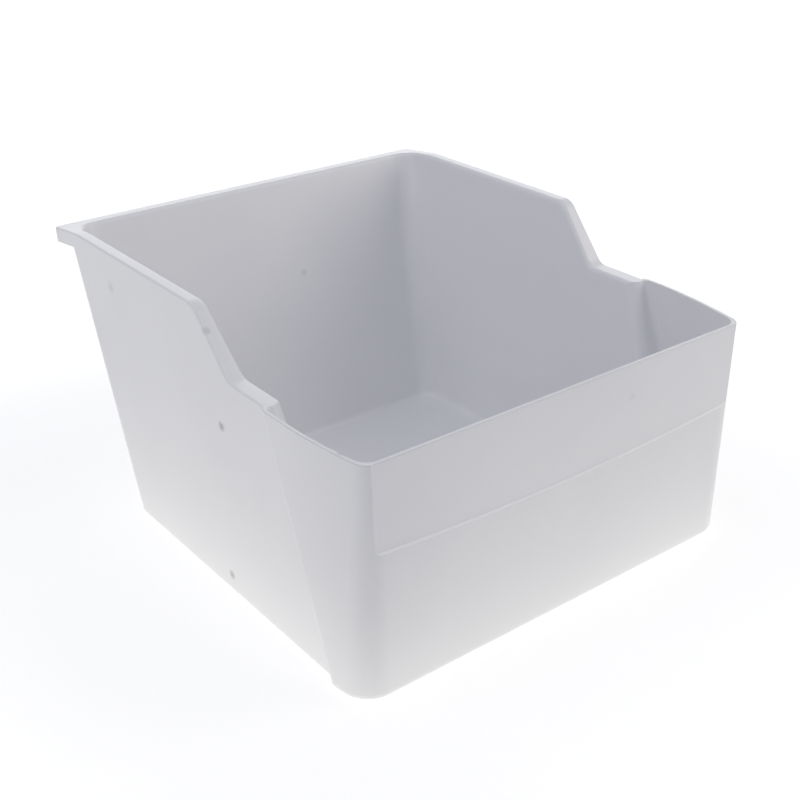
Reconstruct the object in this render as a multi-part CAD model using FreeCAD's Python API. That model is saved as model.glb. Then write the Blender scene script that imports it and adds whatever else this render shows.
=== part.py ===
import FreeCAD
import Part
import math
import os

# Crisper drawer of a fridge: one moulded bin with a wide fascia box in front,
# double side walls behind it, and a rim that steps down from back to front.
# X runs across, the front faces -Y, Z is up, and the drawer rests on z = 0.
# Depths are measured from the foremost plane of the front.

# Overall sizes
drawerDepth = 393.0
fasciaWidth = 346.5
backHeight = 217.5
frontHeight = 173.0

# Walls
wall = 2.4
floorThickness = 2.6
bandThickness = 2.6

# Plan of the fascia box: a long side curve that turns into the corner, at the rim and at the floor
fasciaDraft = 0.3
frontDraft = 1.0
sideTurn = 11.0
rimSideRadius = 380.0
rimCornerRadius = 13.0
floorSideRadius = 62.0
floorCornerRadius = 23.0
fasciaFloorFillet = 6.0

# Leaning seam where the fascia box ends on the side
seamDepthRim = 99.0
seamDepthFloor = 32.0
seamBevelRun = 5.0
seamBevelDrop = 1.5

# Crease across the front panel
creaseHeight = 112.0
creaseSag = 7.5
creaseLedge = 1.4
creaseRise = 1.5

# Rim seen from the side
rimFall = 1.8
rimFallDepth = 82.0
stepFootDepth = 142.0
stepHeadDepth = 179.5
stepFootRadius = 11.0
stepHeadRadius = 14.0
droopRun = 41.5
droopFall = 5.0
droopRadius = 60.0

# Outer side panels and back wall of the rear bin
panelInsetRim = 1.8
panelInsetFloor = 7.7
backLean = 62.0
backCornerRadius = 21.0

# Inside of the rear bin
bandWidth = 10.5
binInsetFloor = 26.5
binCornerRadius = 17.0
binFloorFillet = 6.0
bandInnerRadius = 3.4

# Shoulders inside, where the fascia box gives way to the narrower bin
shoulderRadius = 9.0
shoulderFillet = 4.0
shoulderClear = 0.1

# Flange and hanging lip behind the back wall, and the rounded outer edge of the rim band
flangeReach = 11.5
lipHeight = 11.5
lipCornerRadius = 4.0
bandEdgeRadius = 1.5
bandEdgeClear = 0.1

# Room by which cutting bodies pass the faces that they cut
over = 10.0

frontY = -drawerDepth / 2
halfRim = fasciaWidth / 2
halfFloor = halfRim - fasciaDraft
panelRim = halfRim - panelInsetRim
panelFloor = halfRim - panelInsetFloor
binHalfRim = panelRim - bandWidth
binHalfFloor = panelFloor - binInsetFloor
flatHeight = frontHeight + rimFall
droopDepth = drawerDepth - droopRun
backDepthRim = drawerDepth - flangeReach
backDepthFloor = backDepthRim - backLean
backSlope = backLean / backHeight
backWall = wall * math.sqrt(1 + backSlope * backSlope)
seamSlope = (seamDepthRim - seamDepthFloor) / flatHeight
frontDepthRim = frontDraft * (1 - flatHeight / creaseHeight)


def at(x, depth, z):
    # A point given by its depth behind the front.
    return FreeCAD.Vector(x, frontY + depth, z)


def mirrored(points):
    return [FreeCAD.Vector(-p.x, p.y, p.z) for p in points]


def arc(a, b, c):
    return Part.Arc(a, b, c).toShape()


def line(a, b):
    return Part.makeLine(a, b)


def atHeight(foot, head, z, top):
    # Size that changes evenly from the floor to the given top, also past both ends.
    return foot + (head - foot) * z / top


def panelHalf(z):
    return atHeight(panelFloor, panelRim, z, backHeight)


def binHalf(z):
    return atHeight(binHalfFloor, binHalfRim, z, backHeight)


def backDepth(z):
    return atHeight(backDepthFloor, backDepthRim, z, backHeight)


def fasciaOutline(half, front, sideRadius, corner, z):
    # Straight side, long side curve, corner, front, and the same mirrored.
    turn = math.radians(sideTurn)
    right = math.pi / 2
    back = seamDepthRim + 2 * over
    gap = sideRadius - corner
    sideX = half - sideRadius
    sideD = front + corner + gap * math.sin(turn)
    cornerX = sideX + gap * math.cos(turn)
    cornerD = front + corner

    def onSide(angle):
        return at(sideX + sideRadius * math.cos(angle), sideD - sideRadius * math.sin(angle), z)

    def onCorner(angle):
        return at(cornerX + corner * math.cos(angle), cornerD - corner * math.sin(angle), z)

    p = [at(half, back, z), onSide(0), onSide(turn / 2), onSide(turn)]
    p += [onCorner((turn + right) / 2), onCorner(right)]
    q = mirrored(p)
    edges = [
        line(p[0], p[1]),
        arc(p[1], p[2], p[3]),
        arc(p[3], p[4], p[5]),
        line(p[5], q[5]),
        arc(q[5], q[4], q[3]),
        arc(q[3], q[2], q[1]),
        line(q[1], q[0]),
        line(q[0], p[0]),
    ]
    return Part.Wire(edges)


def rectangle(half, front, back, z):
    # Corners in the same sense as the fascia outline, so that the bodies face outward.
    p = [at(half, back, z), at(half, front, z), at(-half, front, z), at(-half, back, z)]
    return Part.makePolygon(p + p[:1])


def drawn(foot, head):
    # Body drawn straight from the lower outline to the upper one, flat between straight edges.
    faces = [Part.Face(foot), Part.Face(head)]
    for low, high in zip(foot.OrderedEdges, head.OrderedEdges):
        if isinstance(low.Curve, Part.Line):
            a, b = low.firstVertex(True).Point, low.lastVertex(True).Point
            d, c = high.firstVertex(True).Point, high.lastVertex(True).Point
            faces.append(Part.Face(Part.makePolygon([a, b, c, d, a])))
        else:
            faces.append(Part.makeRuledSurface(low, high))
    shell = Part.makeShell(faces)
    shell.sewShape()
    return Part.Solid(shell)


def edgesAtHeight(solid, z, pastDepth):
    # Edges that lie at one height and reach further back than the given depth.
    near = at(0, pastDepth, 0).y
    flat = [e for e in solid.Edges if abs(e.BoundBox.ZMax - z) < 1e-6]
    return [e for e in flat if e.BoundBox.YMax > near and abs(e.BoundBox.ZMin - z) < 1e-6]


def cornerEdges(solid, depth):
    # Upright edges that lie behind the given depth all the way.
    near = at(0, depth, 0).y
    return [e for e in solid.Edges if e.BoundBox.YMin > near and e.BoundBox.ZLength > backHeight / 2]


def rimEdges(solid, cavity):
    # Edges of the rim behind the seam that lie on the walls of the bin.
    walls = cavity.Shells[0]
    near = at(0, seamDepthRim, 0).y

    def onWall(point):
        return walls.distToShape(Part.Vertex(point))[0] < 1e-4

    def alongRim(edge):
        span = edge.LastParameter - edge.FirstParameter
        points = [edge.valueAt(edge.FirstParameter + span * t) for t in (0, 0.5, 1)]
        return min(p.z for p in points) > frontHeight and all(onWall(p) for p in points)

    return [e for e in solid.Edges if e.BoundBox.YMax > near and alongRim(e)]


def roundedPath(points, radii):
    # Straight runs joined by tangent arcs, one radius for each inner point.
    edges = []
    start = points[0]
    for i in range(1, len(points) - 1):
        corner = points[i]
        before = (points[i - 1] - corner).normalize()
        after = (points[i + 1] - corner).normalize()
        opening = before.getAngle(after)
        reach = radii[i - 1] / math.tan(opening / 2)
        a = corner + before * reach
        b = corner + after * reach
        inward = (before + after).normalize()
        m = corner + inward * (radii[i - 1] / math.sin(opening / 2) - radii[i - 1])
        edges.append(line(start, a))
        edges.append(arc(a, m, b))
        start = b
    edges.append(line(start, points[-1]))
    return edges


def acrossX(edges):
    # Closed outline in side view, drawn out across the whole drawer.
    face = Part.Face(Part.Wire(edges))
    span = fasciaWidth + 2 * over
    face.translate(FreeCAD.Vector(-span / 2, 0, 0))
    return face.extrude(FreeCAD.Vector(span, 0, 0))


def underRim(drop):
    # Everything below the rim line, or below the same line sunk by drop.
    # The step is moved back as it sinks, so that the band keeps its thickness on the slope.
    rise = math.atan2(backHeight - flatHeight, stepHeadDepth - stepFootDepth)
    shift = drop * math.tan(rise / 2)
    fall = droopFall / (drawerDepth - droopDepth)
    points = [
        at(0, -over, flatHeight - drop),
        at(0, stepFootDepth + shift, flatHeight - drop),
        at(0, stepHeadDepth + shift, backHeight - drop),
        at(0, droopDepth, backHeight - drop),
        at(0, drawerDepth + over, backHeight - droopFall - over * fall - drop),
    ]
    radii = [stepFootRadius + drop, stepHeadRadius - drop, droopRadius - drop]
    a = at(0, drawerDepth + over, -over)
    b = at(0, -over, -over)
    edges = roundedPath(points, radii)
    return acrossX(edges + [line(points[-1], a), line(a, b), line(b, points[0])])


def aboveFront():
    # Everything above the front rim, which falls a little towards the front.
    lift = rimFall / rimFallDepth
    a = at(0, -over, frontHeight - over * lift)
    b = at(0, rimFallDepth + over, flatHeight + over * lift)
    c = at(0, rimFallDepth + over, flatHeight + over)
    d = at(0, -over, flatHeight + over)
    return acrossX([line(a, b), line(b, c), line(c, d), line(d, a)])


def beforeSeam(shift):
    # Everything in front of the leaning seam, moved back by shift square to the seam.
    top = backHeight + over
    lean = shift * math.sqrt(1 + seamSlope * seamSlope)
    a = at(0, -over, -over)
    b = at(0, seamDepthFloor - seamSlope * over + lean, -over)
    c = at(0, seamDepthFloor + seamSlope * top + lean, top)
    d = at(0, -over, top)
    return acrossX([line(a, b), line(b, c), line(c, d), line(d, a)])


def aboveCrease():
    # The panel above the crease is set back by a small ledge, along a shallow arc that sags in the middle.
    # The ledge rises as it goes in, so that it faces up and forward.
    half = halfRim + over
    slope = creaseRise / creaseLedge
    low = creaseHeight - creaseSag - over * slope
    end = low + creaseSag * (half / halfRim) ** 2
    top = backHeight + over
    a = at(-half, -over, end)
    b = at(half, -over, end)
    middle = at(0, -over, low)
    c = at(half, -over, top)
    d = at(-half, -over, top)
    face = Part.Face(Part.Wire([arc(a, middle, b), line(b, c), line(c, d), line(d, a)]))
    return face.extrude(FreeCAD.Vector(0, over + creaseLedge, (over + creaseLedge) * slope))


def seamDepth(z, shift):
    # Depth of the leaning seam at one height, or of the same plane moved back by shift square to it.
    return seamDepthFloor + seamSlope * z + shift * math.sqrt(1 + seamSlope * seamSlope)


def seamEdges(solid, shift):
    # Long edges that lie in the leaning seam, or in the plane moved back by shift.
    def off(p):
        return abs(p.y - frontY - seamDepth(p.z, shift))

    tall = [e for e in solid.Edges if e.BoundBox.ZLength > frontHeight / 2]
    return [e for e in tall if max(off(v.Point) for v in e.Vertexes) < 1e-6]


def bothSides(solid):
    return [solid, solid.mirror(FreeCAD.Vector(0, 0, 0), FreeCAD.Vector(1, 0, 0))]


def seamBevels():
    # The rear edges of the fascia box turn in towards the side panels.
    def section(z):
        half = atHeight(halfFloor, halfRim, z, flatHeight)
        depth = seamDepth(z, 0)
        out = half + over
        p = [at(out, depth + over, z), at(out, depth - seamBevelRun, z), at(half, depth - seamBevelRun, z)]
        p += [at(half - seamBevelDrop, depth, z), at(half - seamBevelDrop, depth + over, z)]
        return Part.makePolygon(p + p[:1])

    return bothSides(drawn(section(-over), section(flatHeight + over)))


def shoulderRounds():
    # Rounds the corner of each shoulder. The tool starts a little inside the open space,
    # so that it meets the walls at an angle.
    r = shoulderRadius
    m = r - r * math.sqrt(0.5)

    def section(z):
        x = binHalf(z) - shoulderClear
        depth = seamDepth(z, -wall) - shoulderClear
        p = [at(x, depth + r, z), at(x - over, depth + r, z), at(x - over, depth - over, z)]
        p += [at(x + r, depth - over, z), at(x + r, depth, z)]
        edges = [line(p[i + 1], p[i]) for i in range(4)]
        return Part.Wire([arc(p[0], at(x + m, depth + m, z), p[4])] + edges[::-1])

    return bothSides(drawn(section(floorThickness), section(flatHeight + over)))


def fasciaBody():
    foot = fasciaOutline(halfFloor, frontDraft, floorSideRadius, floorCornerRadius, 0)
    head = fasciaOutline(halfRim, frontDepthRim, rimSideRadius, rimCornerRadius, flatHeight)
    solid = drawn(foot, head)
    low = edgesAtHeight(solid, 0, -over)
    low = [e for e in low if e.BoundBox.YMin < at(0, seamDepthRim, 0).y]
    solid = solid.makeFillet(fasciaFloorFillet, low)
    solid = solid.cut(aboveCrease()).common(beforeSeam(0))
    return solid.cut(seamBevels())


def rearBody():
    front = seamDepthFloor - over
    foot = rectangle(panelFloor, front, backDepthFloor, 0)
    head = rectangle(panelRim, front, backDepthRim, backHeight)
    solid = drawn(foot, head)
    solid = solid.makeFillet(backCornerRadius, cornerEdges(solid, seamDepthRim))
    return solid.cut(beforeSeam(0))


def lipBody():
    # Flange that carries on behind the back wall, with a lip that hangs from its edge.
    start = backDepthRim - backCornerRadius - lipHeight * backSlope

    def block(inset, radius, front):
        top = backHeight + over
        low = rectangle(panelFloor - inset, front, drawerDepth - inset, 0)
        high = rectangle(panelHalf(top) - inset, front, drawerDepth - inset, top)
        solid = drawn(low, high)
        return solid.makeFillet(radius, cornerEdges(solid, start + over))

    outer = block(0, lipCornerRadius, start).cut(underRim(lipHeight))
    inner = block(wall, lipCornerRadius - wall, start - over)
    return outer.cut(inner.common(underRim(bandThickness)))


def underBand():
    # Room under the rim whose upper edges are rounded. It stands clear of the side panels and of the lip
    # by a little, so that the rounding of the rim band ends in a faint edge.
    front = seamDepthFloor - over
    top = backHeight + over
    back = drawerDepth + bandEdgeClear
    low = rectangle(panelFloor + bandEdgeClear, front, back, 0)
    solid = drawn(low, rectangle(panelHalf(top) + bandEdgeClear, front, back, top))
    solid = solid.makeFillet(lipCornerRadius + bandEdgeClear, cornerEdges(solid, seamDepthRim))
    solid = solid.common(underRim(0))
    rearmost = at(0, back, 0).y - 1e-3
    raised = [e for e in solid.Edges if e.BoundBox.ZMin > frontHeight / 2]
    edges = [e for e in raised if e.BoundBox.XLength < panelRim or e.BoundBox.YMax > rearmost]
    return solid.makeFillet(bandEdgeRadius, edges)


def rearCavity():
    def section(z):
        return rectangle(binHalf(z), creaseLedge + wall + floorCornerRadius, backDepth(z) - backWall, z)

    solid = drawn(section(floorThickness), section(backHeight + over))
    solid = solid.makeFillet(binCornerRadius, cornerEdges(solid, seamDepthRim))
    return solid.makeFillet(binFloorFillet, edgesAtHeight(solid, floorThickness, seamDepthRim))


def fasciaCavity():
    def section(z):
        half = atHeight(halfFloor, halfRim, z, flatHeight) - wall
        side = atHeight(floorSideRadius, rimSideRadius, z, flatHeight) - wall
        corner = atHeight(floorCornerRadius, rimCornerRadius, z, flatHeight) - wall
        return fasciaOutline(half, creaseLedge + wall, side, corner, z)

    solid = drawn(section(floorThickness), section(flatHeight + over)).common(beforeSeam(-wall))
    return solid.makeFillet(shoulderFillet, seamEdges(solid, -wall))


def followShoulder(solid):
    # Rounds the inner front corner of a hollow, so that the wall keeps its thickness round the shoulder.
    edges = seamEdges(solid, 0)
    inner = min(edges, key=lambda e: abs(e.CenterOfMass.x))
    return solid.makeFillet(shoulderRadius - wall, [inner])


def sideHollows():
    # Space inside the double side walls, open below and closed by the rim band above.
    # It runs on into the back corners, between the outer rounding and that of the bin.
    front = seamDepthFloor - over
    top = backHeight + over

    def panel(z):
        return rectangle(panelHalf(z) - wall, front, backDepth(z) - backWall, z)

    def bin(z):
        return rectangle(binHalf(z) + wall, front - over, backDepth(z), z)

    space = drawn(panel(-over), panel(top))
    space = space.makeFillet(backCornerRadius - wall, cornerEdges(space, seamDepthRim))
    core = drawn(bin(-2 * over), bin(top + over))
    core = core.makeFillet(binCornerRadius + wall, cornerEdges(core, seamDepthRim))
    space = space.cut(beforeSeam(0)).cut(core)
    return [followShoulder(solid) for solid in space.common(underRim(bandThickness)).Solids]


def drawerBody():
    rear = rearBody().fuse(lipBody()).removeSplitter().common(underBand())
    body = fasciaBody().common(underRim(0)).fuse(rear).removeSplitter()
    cavity = rearCavity()
    body = body.cut(cavity).Solids[0]
    body = body.makeFillet(bandInnerRadius, rimEdges(body, cavity))
    body = body.cut([fasciaCavity()] + shoulderRounds()).cut(aboveFront())
    return body.cut(sideHollows()).removeSplitter().Solids[0]


os.makedirs("parts", exist_ok=True)
drawer = drawerBody()
drawer.exportStep("parts/drawer_bin.step")
print("valid", drawer.isValid(), "solids", len(drawer.Solids), "volume", round(drawer.Volume / 1000, 1), "cm3")
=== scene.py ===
import math

import bpy
from mathutils import Matrix, Vector

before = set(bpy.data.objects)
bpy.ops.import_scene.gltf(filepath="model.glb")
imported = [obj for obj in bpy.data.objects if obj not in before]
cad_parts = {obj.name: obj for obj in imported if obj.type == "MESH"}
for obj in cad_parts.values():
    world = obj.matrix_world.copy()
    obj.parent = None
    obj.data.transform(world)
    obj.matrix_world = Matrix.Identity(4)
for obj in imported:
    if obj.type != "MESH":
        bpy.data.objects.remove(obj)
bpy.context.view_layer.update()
print("frame loaded, nodes", sorted(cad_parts))


def hexLinear(code):
    # sRGB hex to the linear colour that the shaders work in
    parts = [int(code[i:i + 2], 16) / 255 for i in (1, 3, 5)]
    return [p / 12.92 if p <= 0.04045 else ((p + 0.055) / 1.055) ** 2.4 for p in parts] + [1.0]


def addNode(tree, kind, settings=None, inputs=None):
    # one node with its settings, and for each input a value or the socket that feeds it
    node = tree.nodes.new(kind)
    for name, value in (settings or {}).items():
        setattr(node, name, value)
    for key, value in (inputs or {}).items():
        if isinstance(value, bpy.types.NodeSocket):
            tree.links.new(value, node.inputs[key])
        else:
            node.inputs[key].default_value = value
    return node


def newMaterial(name):
    material = bpy.data.materials.new(name)
    material.use_nodes = True
    material.node_tree.nodes.clear()
    return material, material.node_tree


def lookedAt(tree):
    # 1 for a ray from the camera, a gloss or a glass, 0 for light that falls on the drawer
    seen = addNode(tree, "ShaderNodeLightPath").outputs
    looked = addNode(tree, "ShaderNodeMath", {"operation": "ADD"},
                     {0: seen["Is Camera Ray"], 1: seen["Is Glossy Ray"]})
    looked = addNode(tree, "ShaderNodeMath", {"operation": "ADD", "use_clamp": True},
                     {0: looked.outputs[0], 1: seen["Is Transmission Ray"]})
    return looked.outputs[0]


# Moulded polystyrene, the drawer's one material
drawerFinish = {
    "plasticHex": "#f3f3f4",           # cool off-white
    "ior": 1.55,
    "roughness": 0.36,
    "roughSpread": (-0.04, 0.05),      # added to the roughness across the patches
    "roughEnds": (0.3, 0.7),
    "cloudMm": 120,                    # patches of slightly duller plastic
    "dullHex": "#eeeef0",              # where handling has dulled it
    "dullMost": 0.6,                   # share of that colour in the dullest patch
    "dullEnds": (0.45, 0.75),
    "edgeRoundMm": 1.3,
    "edgeSamples": 8,
    "sinkMm": 55,                      # slow waves where the wall shrank as it cooled
    "sinkDepthMm": 0.6,
    "mouldGrainMm": 1.1,               # fine grain of the mould
    "grainDepthMm": 0.04,
    "reliefStrength": 0.5,
    "ledgeHighlightHex": "#fbfbfb",            # painted highlight on the crease's ledge, lighter where light would catch it
    "ledgeNormal": (0, -0.707, 0.707),
    "ledgeEnds": (0.85, 0.95),         # how closely a face has to lean that way
    "ledgeFront": -0.18,               # the ledge lies in front of this, in metres
    "speckHex": "#8f8f96",             # grey specks of dirt
    "speckCore": 0.15,                 # share of the radius that has full strength
    "raggedMm": 1.4286,                # notches in the edge of a speck, and how far they reach
    "raggedReachMm": 0.8,
    "specks": [                        # centre and radius in mm, strength
        ((-169.3, -40.5, 136.9), 5.0, 0.60),
        ((-165.9, -32.3, 12.7), 5.0, 0.56),
        ((30.4, 156.4, 137.6), 5.4, 0.40),     # this and the next stand a little off the wall,
        ((57.0, -199.0, 148.7), 6.0, 0.22),    # so that its other side stays clean
        ((-170.7, 105.9, 190.4), 6.0, 0.20),
        ((-168.9, -30.3, 202.4), 4.0, 0.26),
        ((-165.9, -173.4, 173.4), 2.8, 0.28),
    ],
}


def speckMask(tree, place, finish):
    # soft spots round the centres, with ragged edges
    reach = finish["raggedReachMm"] / 1000
    ragged = addNode(tree, "ShaderNodeTexNoise", {},
                     {"Vector": place, "Scale": 1000 / finish["raggedMm"], "Detail": 1.0})
    shift = addNode(tree, "ShaderNodeMath", {"operation": "MULTIPLY_ADD"},
                    {0: ragged.outputs["Fac"], 1: 2 * reach, 2: -reach})
    total = None
    for centre, radiusMm, strength in finish["specks"]:
        radius = radiusMm / 1000
        away = addNode(tree, "ShaderNodeVectorMath", {"operation": "DISTANCE"},
                       {0: place, 1: [c / 1000 for c in centre]})
        away = addNode(tree, "ShaderNodeMath", {"operation": "ADD"},
                       {0: away.outputs["Value"], 1: shift.outputs[0]})
        spot = addNode(tree, "ShaderNodeMapRange", {"interpolation_type": "SMOOTHSTEP"},
                       {"Value": away.outputs[0],
                        "From Min": finish["speckCore"] * radius, "From Max": radius,
                        "To Min": strength, "To Max": 0.0}).outputs["Result"]
        if total is None:
            total = spot
        else:
            total = addNode(tree, "ShaderNodeMath", {"operation": "MAXIMUM"}, {0: total, 1: spot}).outputs[0]
    return total


def ledgeHighlightMask(tree, place, finish):
    # the narrow ledge of the crease faces up and forward; this mask paints a highlight on it, as if light
    # caught it
    facing = addNode(tree, "ShaderNodeNewGeometry").outputs["True Normal"]
    lean = addNode(tree, "ShaderNodeVectorMath", {"operation": "DOT_PRODUCT"},
                   {0: facing, 1: finish["ledgeNormal"]})
    along = addNode(tree, "ShaderNodeSeparateXYZ", {}, {0: place}).outputs["Y"]
    inFront = addNode(tree, "ShaderNodeMath", {"operation": "LESS_THAN"},
                      {0: along, 1: finish["ledgeFront"]})
    low, high = finish["ledgeEnds"]
    ledge = addNode(tree, "ShaderNodeMapRange", {},
                    {"Value": lean.outputs["Value"], "From Min": low, "From Max": high,
                     "To Max": inFront.outputs[0]})
    return ledge.outputs["Result"]


def mouldedPolystyrene(finish):
    # Injection-moulded polystyrene: satin, evenly white, with soft broad highlights, a fine
    # grain from the mould and very slow waves, and a few specks of dirt that have stuck to it.
    material, tree = newMaterial("moulded_polystyrene_satin_white")
    place = addNode(tree, "ShaderNodeTexCoord").outputs["Object"]
    clouds = addNode(tree, "ShaderNodeTexNoise", {},
                     {"Vector": place, "Scale": 1000 / finish["cloudMm"], "Detail": 2.0, "Roughness": 0.5})
    low, high = finish["dullEnds"]
    duller = addNode(tree, "ShaderNodeMapRange", {},
                     {"Value": clouds.outputs["Fac"], "From Min": low, "From Max": high,
                      "To Min": 0.0, "To Max": finish["dullMost"]})

    # plain plastic, then the duller patches, the painted highlight on the crease's ledge and the specks over
    # it
    colour = hexLinear(finish["plasticHex"])
    layers = [
        (duller.outputs["Result"], "dullHex"),
        # painted highlight: the ledge's colour is made lighter where light would catch it
        (ledgeHighlightMask(tree, place, finish), "ledgeHighlightHex"),
        (speckMask(tree, place, finish), "speckHex"),
    ]
    for mask, tint in layers:
        colour = addNode(tree, "ShaderNodeMix", {"data_type": "RGBA"},
                         {0: mask, 6: colour, 7: hexLinear(finish[tint])}).outputs[2]

    low, high = finish["roughEnds"]
    smoother, rougher = (finish["roughness"] + spread for spread in finish["roughSpread"])
    rough = addNode(tree, "ShaderNodeMapRange", {},
                    {"Value": clouds.outputs["Fac"], "From Min": low, "From Max": high,
                     "To Min": smoother, "To Max": rougher})

    # edges rounded to the eye, then slow waves, then fine grain
    normal = addNode(tree, "ShaderNodeBevel", {"samples": finish["edgeSamples"]},
                     {"Radius": finish["edgeRoundMm"] / 1000}).outputs["Normal"]
    waves = addNode(tree, "ShaderNodeTexNoise", {},
                    {"Vector": place, "Scale": 1000 / finish["sinkMm"], "Detail": 0.0})
    grain = addNode(tree, "ShaderNodeTexNoise", {},
                    {"Vector": place, "Scale": 1000 / finish["mouldGrainMm"],
                     "Detail": 2.0, "Roughness": 0.55})
    for relief, depthMm in ((waves, finish["sinkDepthMm"]), (grain, finish["grainDepthMm"])):
        normal = addNode(tree, "ShaderNodeBump", {},
                         {"Height": relief.outputs["Fac"], "Distance": depthMm / 1000,
                          "Strength": finish["reliefStrength"], "Normal": normal}).outputs["Normal"]

    shader = addNode(tree, "ShaderNodeBsdfPrincipled", {},
                     {"Base Color": colour, "Roughness": rough.outputs["Result"], "Normal": normal,
                      "IOR": finish["ior"], "Metallic": 0.0})
    addNode(tree, "ShaderNodeOutputMaterial", {}, {"Surface": shader.outputs["BSDF"]})
    return material


plastic = mouldedPolystyrene(drawerFinish)
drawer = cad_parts["drawer_bin"]
drawer.data.materials.clear()
drawer.data.materials.append(plastic)
print("drawer finished with", plastic.name)


# Stage: a pale table, lit round the drawer, that stays white in the picture
stage = {
    "size": 6.0,
    "drop": -0.0004,              # just below the drawer's floor
    "tableHex": "#f4f4f4",
    "footprint": (0.168, 0.165),  # half width and half depth of the drawer where it stands
    "glowHex": "#fffaee",
    "glow": 0.58,                 # light from the table next to the drawer
    "glowEnds": (0.00, 0.32),     # metres from the drawer over which it fades
    "shownHex": "#bcbcbc",        # the table as the camera sees it, with a lift that makes it white
    "lift": (0.66, 0.92),         # next to the drawer, where it leaves the shadow, and far off
    "liftEnds": (0.02, 0.60),     # metres from the drawer between the two
    "skyHex": "#dde2f2",
    "skyStrength": 0.35,
}
white = (1, 1, 1, 1)


def paleTable():
    # Matt white card on a light table: even, with a soft shadow under the drawer
    material, tree = newMaterial("matt_white_card")

    # distance from the drawer's footprint
    place = addNode(tree, "ShaderNodeTexCoord").outputs["Object"]
    away = addNode(tree, "ShaderNodeVectorMath", {"operation": "ABSOLUTE"}, {0: place})
    away = addNode(tree, "ShaderNodeVectorMath", {"operation": "SUBTRACT"},
                   {0: away.outputs[0], 1: (*stage["footprint"], 0)})
    away = addNode(tree, "ShaderNodeVectorMath", {"operation": "MAXIMUM"}, {0: away.outputs[0], 1: (0, 0, 0)})
    away = addNode(tree, "ShaderNodeVectorMath", {"operation": "LENGTH"}, {0: away.outputs[0]})

    # a card with a light of its own, once for the light that it gives and once for how it looks
    coats = []
    for cardHex, tint, ends, levels in (
        (stage["tableHex"], hexLinear(stage["glowHex"]), stage["glowEnds"], (stage["glow"], 0.0)),
        (stage["shownHex"], white, stage["liftEnds"], stage["lift"]),
    ):
        level = addNode(tree, "ShaderNodeMapRange", {"interpolation_type": "SMOOTHSTEP"},
                        {"Value": away.outputs["Value"], "From Min": ends[0], "From Max": ends[1],
                         "To Min": levels[0], "To Max": levels[1]})
        card = addNode(tree, "ShaderNodeBsdfDiffuse", {}, {"Color": hexLinear(cardHex)})
        light = addNode(tree, "ShaderNodeEmission", {}, {"Color": tint, "Strength": level.outputs["Result"]})
        coat = addNode(tree, "ShaderNodeAddShader", {}, {0: card.outputs[0], 1: light.outputs[0]})
        coats.append(coat.outputs[0])

    lit, shown = coats
    both = addNode(tree, "ShaderNodeMixShader", {}, {0: lookedAt(tree), 1: lit, 2: shown})
    addNode(tree, "ShaderNodeOutputMaterial", {}, {"Surface": both.outputs[0]})
    return material


half = stage["size"] / 2
corners = [(x * half, y * half, stage["drop"]) for x, y in ((-1, -1), (1, -1), (1, 1), (-1, 1))]
tableMesh = bpy.data.meshes.new("table")
tableMesh.from_pydata(corners, [], [(0, 1, 2, 3)])
tableMesh.materials.append(paleTable())
table = bpy.data.objects.new("table", tableMesh)
bpy.context.scene.collection.objects.link(table)

# The sky lights the drawer faintly, and is white where it is looked at
world = bpy.data.worlds.new("studio")
bpy.context.scene.world = world
world.use_nodes = True
sky = world.node_tree
sky.nodes.clear()
dim = addNode(sky, "ShaderNodeBackground", {},
              {"Color": hexLinear(stage["skyHex"]), "Strength": stage["skyStrength"]})
plain = addNode(sky, "ShaderNodeBackground", {}, {"Color": white, "Strength": 1.0})
mixed = addNode(sky, "ShaderNodeMixShader", {}, {0: lookedAt(sky), 1: dim.outputs[0], 2: plain.outputs[0]})
addNode(sky, "ShaderNodeOutputWorld", {}, {"Surface": mixed.outputs[0]})
print("table and world set")

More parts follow.
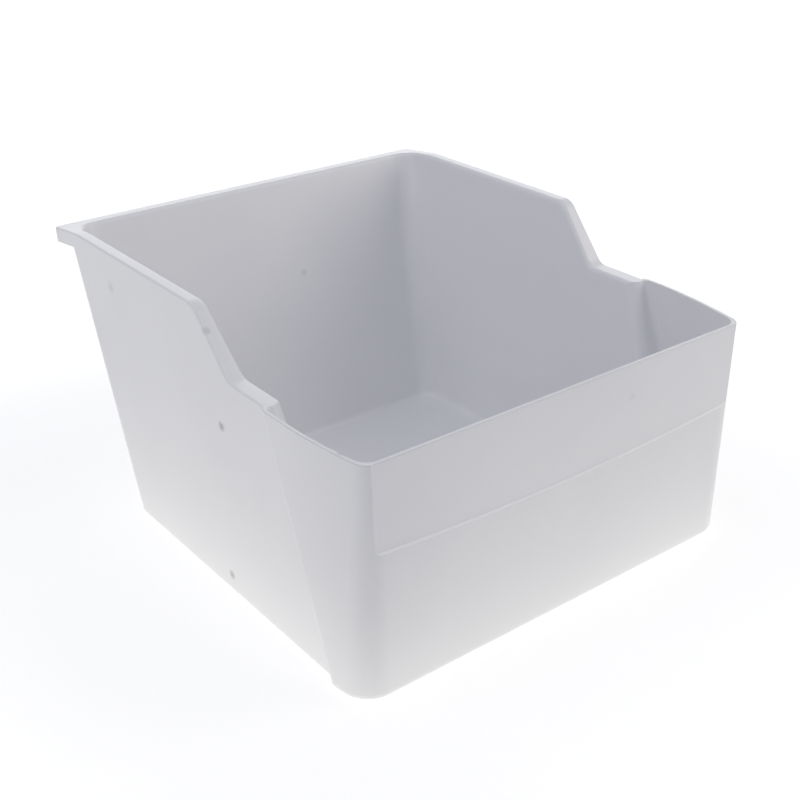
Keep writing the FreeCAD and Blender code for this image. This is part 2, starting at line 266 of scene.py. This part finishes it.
# Soft boxes: azimuth from the front towards the left side and elevation in degrees,
# distance and size in metres, power in watts, tint
softBoxes = {
    "overheadBox": {"turn": (100, 60), "distance": 1.7, "size": (1.6, 1.6), "power": 6.3, "hex": "#f7f8ff"},
    "leftBox": {"turn": (84, 14), "distance": 1.3, "size": (0.8, 0.8), "power": 1.6, "hex": "#fff9ea"},
    "rightBox": {"turn": (-50, 28), "distance": 1.8, "size": (1.2, 1.4), "power": 8.9, "hex": "#fff9f0"},
    "rimBox": {"turn": (-143, 19), "distance": 1.9, "size": (1.8, 0.9), "power": 5.0, "hex": "#ffffff"},
    "glintBox": {"turn": (-50, 46), "distance": 1.6, "size": (0.35, 0.35), "power": 0.5, "hex": "#ffffff"},
}
aimedAt = Vector((0, 0, 0.1))    # the middle of the drawer
for name, box in softBoxes.items():
    lamp = bpy.data.lights.new(name, "AREA")
    lamp.shape = "RECTANGLE"
    lamp.size, lamp.size_y = box["size"]
    lamp.energy = box["power"]
    lamp.color = hexLinear(box["hex"])[:3]
    lampObject = bpy.data.objects.new(name, lamp)
    a, e = (math.radians(angle) for angle in box["turn"])
    outward = Vector((-math.sin(a) * math.cos(e), -math.cos(a) * math.cos(e), math.sin(e)))
    lampObject.location = outward * box["distance"] + aimedAt
    lampObject.rotation_euler = outward.to_track_quat("Z", "Y").to_euler()
    bpy.context.scene.collection.objects.link(lampObject)
print("lamps", len(softBoxes))

# Camera at the photograph's place: eye in metres, turn, tilt and roll in degrees, lens in mm
view = {
    "eye": (-0.52339, -0.69702, 0.52972),
    "azimuth": -37.47,
    "elevation": 26.95,
    "roll": -0.581,
    "lens": 56.754,
    "sensor": 36.0,
}
a, e, r = (math.radians(view[k]) for k in ("azimuth", "elevation", "roll"))
backward = Vector((math.sin(a) * math.cos(e), -math.cos(a) * math.cos(e), math.sin(e)))
right = Vector((math.cos(a), math.sin(a), 0))
up = backward.cross(right)
rightRolled = right * math.cos(r) + up * math.sin(r)
upRolled = up * math.cos(r) - right * math.sin(r)
turn = Matrix((rightRolled, upRolled, backward)).transposed().to_4x4()
cameraData = bpy.data.cameras.new("photoView")
cameraData.sensor_width = view["sensor"]
cameraData.lens = view["lens"]
camera = bpy.data.objects.new("photoView", cameraData)
camera.matrix_world = Matrix.Translation(view["eye"]) @ turn
bpy.context.scene.collection.objects.link(camera)
bpy.context.scene.camera = camera
bpy.context.scene.view_settings.view_transform = "Standard"
print("camera set")

bpy.context.view_layer.update()
